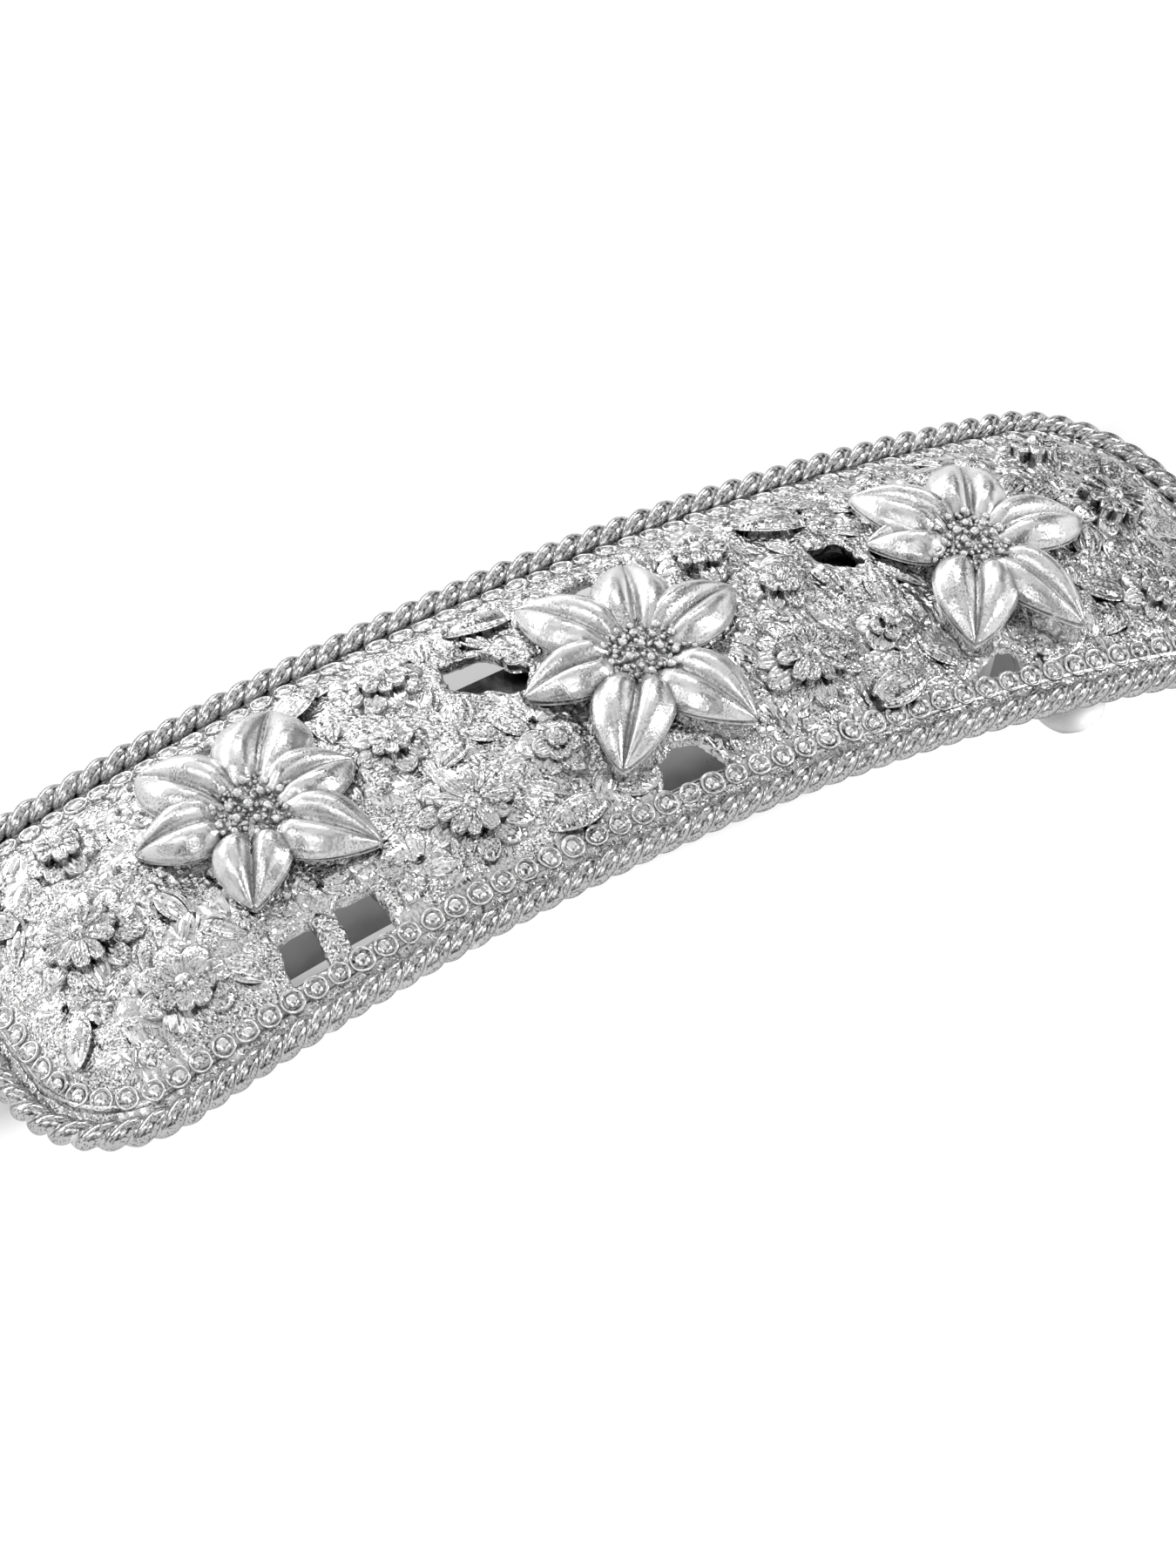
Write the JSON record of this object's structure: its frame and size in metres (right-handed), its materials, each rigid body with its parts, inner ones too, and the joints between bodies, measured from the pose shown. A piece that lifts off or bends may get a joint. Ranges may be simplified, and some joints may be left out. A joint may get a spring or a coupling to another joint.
{
  "type": "hair clip",
  "caption": "Arched metal hair clip with an openwork lily and blossom ornament, rope and bead borders, a hinged latch arm, a spring leaf and squeeze tabs.",
  "frame": {"origin": "on the surface that the clip lies on, under the middle of its box", "axes": "+X along the clip from the hinge to the thumb tabs, +Y across it, +Z out of the ornament"},
  "size_m": [0.0918, 0.0282, 0.0176],
  "materials": {
    "plate_silver": "silver-tone cast metal with a rough sparkling grain",
    "border_silver": "silver-tone polished twisted and beaded wire",
    "petal_silver": "silver-tone satin-polished cast metal",
    "stamen_silver": "silver-tone granulated metal",
    "relief_silver": "silver-tone bright cast metal with grainy recesses",
    "bar_steel": "stamped nickel-plated steel",
    "arm_steel": "bright nickel-plated steel",
    "spring_steel": "rolled spring steel",
    "pin_steel": "drawn steel with peened ends",
    "solder": "dull soft solder"
  },
  "bodies": {
    "clip_body": {"cast_plate": "plate_silver", "rope_border": "border_silver", "bead_border": "border_silver", "base_bar": "bar_steel", "solder_pads": "solder", "clasp_head": "bar_steel", "clasp_rivet": "pin_steel", "spring_rivet": "pin_steel", "hinge_pin": "pin_steel", "lily_left": "petal_silver", "lily_middle": "petal_silver", "lily_right": "petal_silver", "stamens_left": "stamen_silver", "stamens_middle": "stamen_silver", "stamens_right": "stamen_silver", "daisy_left_end": "relief_silver", "daisy_left": "relief_silver", "daisy_right": "relief_silver", "daisy_right_end": "relief_silver", "blossom_left_end_far": "relief_silver", "blossom_left_end_near": "relief_silver", "blossom_left_inner": "relief_silver", "blossom_left_far": "relief_silver", "blossom_right_inner": "relief_silver", "blossom_right_far": "relief_silver", "blossom_right_end_far": "relief_silver", "blossom_right_end_near": "relief_silver", "rose_left": "relief_silver", "rose_right": "relief_silver", "leaf_left_end_near": "relief_silver", "leaf_left_end_far": "relief_silver", "leaf_left_far": "relief_silver", "leaf_left_near": "relief_silver", "leaf_middle_far": "relief_silver", "leaf_right_near": "relief_silver", "leaf_right_far": "relief_silver", "leaf_right_end_near": "relief_silver", "leaf_right_end_far": "relief_silver"},
    "latch_arm": {"latch_arm": "arm_steel"},
    "spring_leaf": {"spring_leaf": "spring_steel"},
    "thumb_tab_near": {"thumb_tab_near": "arm_steel"},
    "thumb_tab_far": {"thumb_tab_far": "arm_steel"}
  },
  "joints": [
    {"name": "latch_arm_hinge", "type": "hinge", "parent": "clip_body", "child": "latch_arm", "pos_m": [-0.029, 0, 0.0019], "axis": [0, 1, 0], "range_deg": [0, 100]},
    {"name": "spring_leaf_flex", "type": "hinge", "parent": "clip_body", "child": "spring_leaf", "pos_m": [-0.0248, 0, 0.009], "axis": [0, -1, 0], "range_deg": [0, 1.4], "stiffness_Nm_per_rad": 0.02},
    {"name": "thumb_tab_near_press", "type": "hinge", "parent": "clip_body", "child": "thumb_tab_near", "pos_m": [0.0289, -0.002, 0.00832], "axis": [0.9768, 0, -0.2143], "range_deg": [0, 6], "stiffness_Nm_per_rad": 0.002},
    {"name": "thumb_tab_far_press", "type": "hinge", "parent": "clip_body", "child": "thumb_tab_far", "pos_m": [0.0289, 0.002, 0.00832], "axis": [-0.9768, 0, 0.2143], "range_deg": [0, 6], "stiffness_Nm_per_rad": 0.002}
  ]
}
